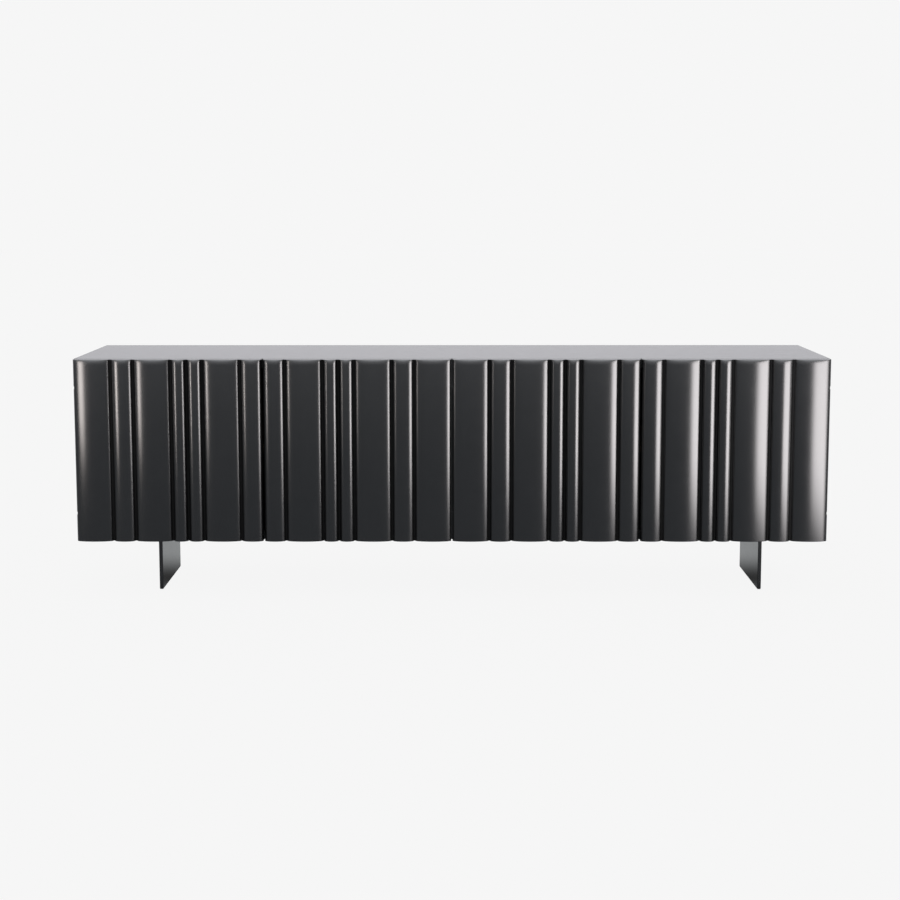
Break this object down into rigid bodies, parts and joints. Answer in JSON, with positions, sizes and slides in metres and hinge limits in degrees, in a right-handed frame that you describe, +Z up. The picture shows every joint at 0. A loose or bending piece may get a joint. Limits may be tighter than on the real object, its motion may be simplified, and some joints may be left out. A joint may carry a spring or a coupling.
{
  "type": "sideboard buffet",
  "caption": "Long low sideboard on two blade legs, with hinged doors covered in half-round vertical ribs of mixed widths and a flat top.",
  "frame": {"origin": "middle of the footprint, on the floor, under the middle of the bounding box", "axes": "+X along the length, to the right of someone who faces the doors; +Y from the doors to the back; +Z up"},
  "size_m": [2.4, 0.6, 0.76],
  "materials": {
    "door_lacquer": "satin dark gunmetal lacquer on moulded wooden ribs",
    "top_lacquer": "satin dark gunmetal lacquer on board",
    "carcass_lacquer": "satin dark gunmetal lacquer on board",
    "back_board": "matt black lacquered board",
    "shelf_veneer": "dark stained veneer, satin",
    "beech": "plain turned dowel",
    "leg_metal": "satin dark gunmetal lacquer on steel",
    "pad_rubber": "matt",
    "hinge_steel": "brushed",
    "bright_steel": "bright nickel plated",
    "latch_plastic": "fine textured",
    "plunger_rubber": "matt"
  },
  "bodies": {
    "carcass": {"top_panel": "top_lacquer", "bottom_panel": "carcass_lacquer", "left_side_panel": "carcass_lacquer", "right_side_panel": "carcass_lacquer", "left_centre_panel": "carcass_lacquer", "right_centre_panel": "carcass_lacquer", "left_back_panel": "back_board", "right_back_panel": "back_board", "left_shelf": "shelf_veneer", "right_shelf": "shelf_veneer", "shelf_pins": "bright_steel", "carcass_dowels": "beech", "connector_bolts": "bright_steel", "connector_sleeves": "bright_steel", "back_panel_screws": "bright_steel", "left_leg_blade": "leg_metal", "right_leg_blade": "leg_metal", "left_leg_flange": "leg_metal", "right_leg_flange": "leg_metal", "leg_screws": "bright_steel", "leg_pads": "pad_rubber", "hinge_arms": "hinge_steel", "hinge_screws": "bright_steel", "latch_housings": "latch_plastic", "latch_screws": "bright_steel"},
    "door_1": {"door_panel_1": "door_lacquer", "ribs_wide_1": "door_lacquer", "ribs_medium_1": "door_lacquer", "ribs_narrow_1": "door_lacquer", "hinge_blocks_1": "hinge_steel", "hinge_pins_1": "bright_steel", "strike_plate_1": "bright_steel"},
    "plunger_1": {"latch_plunger_1": "plunger_rubber"},
    "door_2": {"door_panel_2": "door_lacquer", "ribs_wide_2": "door_lacquer", "ribs_medium_2": "door_lacquer", "ribs_narrow_2": "door_lacquer", "hinge_blocks_2": "hinge_steel", "hinge_pins_2": "bright_steel", "strike_plate_2": "bright_steel"},
    "plunger_2": {"latch_plunger_2": "plunger_rubber"},
    "door_3": {"door_panel_3": "door_lacquer", "ribs_wide_3": "door_lacquer", "ribs_medium_3": "door_lacquer", "ribs_narrow_3": "door_lacquer", "hinge_blocks_3": "hinge_steel", "hinge_pins_3": "bright_steel", "strike_plate_3": "bright_steel"},
    "plunger_3": {"latch_plunger_3": "plunger_rubber"},
    "door_4": {"door_panel_4": "door_lacquer", "ribs_wide_4": "door_lacquer", "ribs_medium_4": "door_lacquer", "ribs_narrow_4": "door_lacquer", "hinge_blocks_4": "hinge_steel", "hinge_pins_4": "bright_steel", "strike_plate_4": "bright_steel"},
    "plunger_4": {"latch_plunger_4": "plunger_rubber"}
  },
  "joints": [
    {"name": "door_1_hinge", "type": "hinge", "parent": "carcass", "child": "door_1", "pos_m": [-1.179, -0.281, 0.469], "axis": [0, 0, -1], "range_deg": [0, 90]},
    {"name": "door_2_hinge", "type": "hinge", "parent": "carcass", "child": "door_2", "pos_m": [-0.021, -0.281, 0.469], "axis": [0, 0, 1], "range_deg": [0, 90]},
    {"name": "door_3_hinge", "type": "hinge", "parent": "carcass", "child": "door_3", "pos_m": [0.021, -0.281, 0.469], "axis": [0, 0, -1], "range_deg": [0, 90]},
    {"name": "door_4_hinge", "type": "hinge", "parent": "carcass", "child": "door_4", "pos_m": [1.179, -0.281, 0.469], "axis": [0, 0, 1], "range_deg": [0, 90]},
    {"name": "plunger_1_slide", "type": "slide", "parent": "carcass", "child": "plunger_1", "axis": [0, 1, 0], "range_m": [0, 0.003], "stiffness_N_per_m": 1500, "springref_m": -0.003},
    {"name": "plunger_2_slide", "type": "slide", "parent": "carcass", "child": "plunger_2", "axis": [0, 1, 0], "range_m": [0, 0.003], "stiffness_N_per_m": 1500, "springref_m": -0.003},
    {"name": "plunger_3_slide", "type": "slide", "parent": "carcass", "child": "plunger_3", "axis": [0, 1, 0], "range_m": [0, 0.003], "stiffness_N_per_m": 1500, "springref_m": -0.003},
    {"name": "plunger_4_slide", "type": "slide", "parent": "carcass", "child": "plunger_4", "axis": [0, 1, 0], "range_m": [0, 0.003], "stiffness_N_per_m": 1500, "springref_m": -0.003}
  ]
}
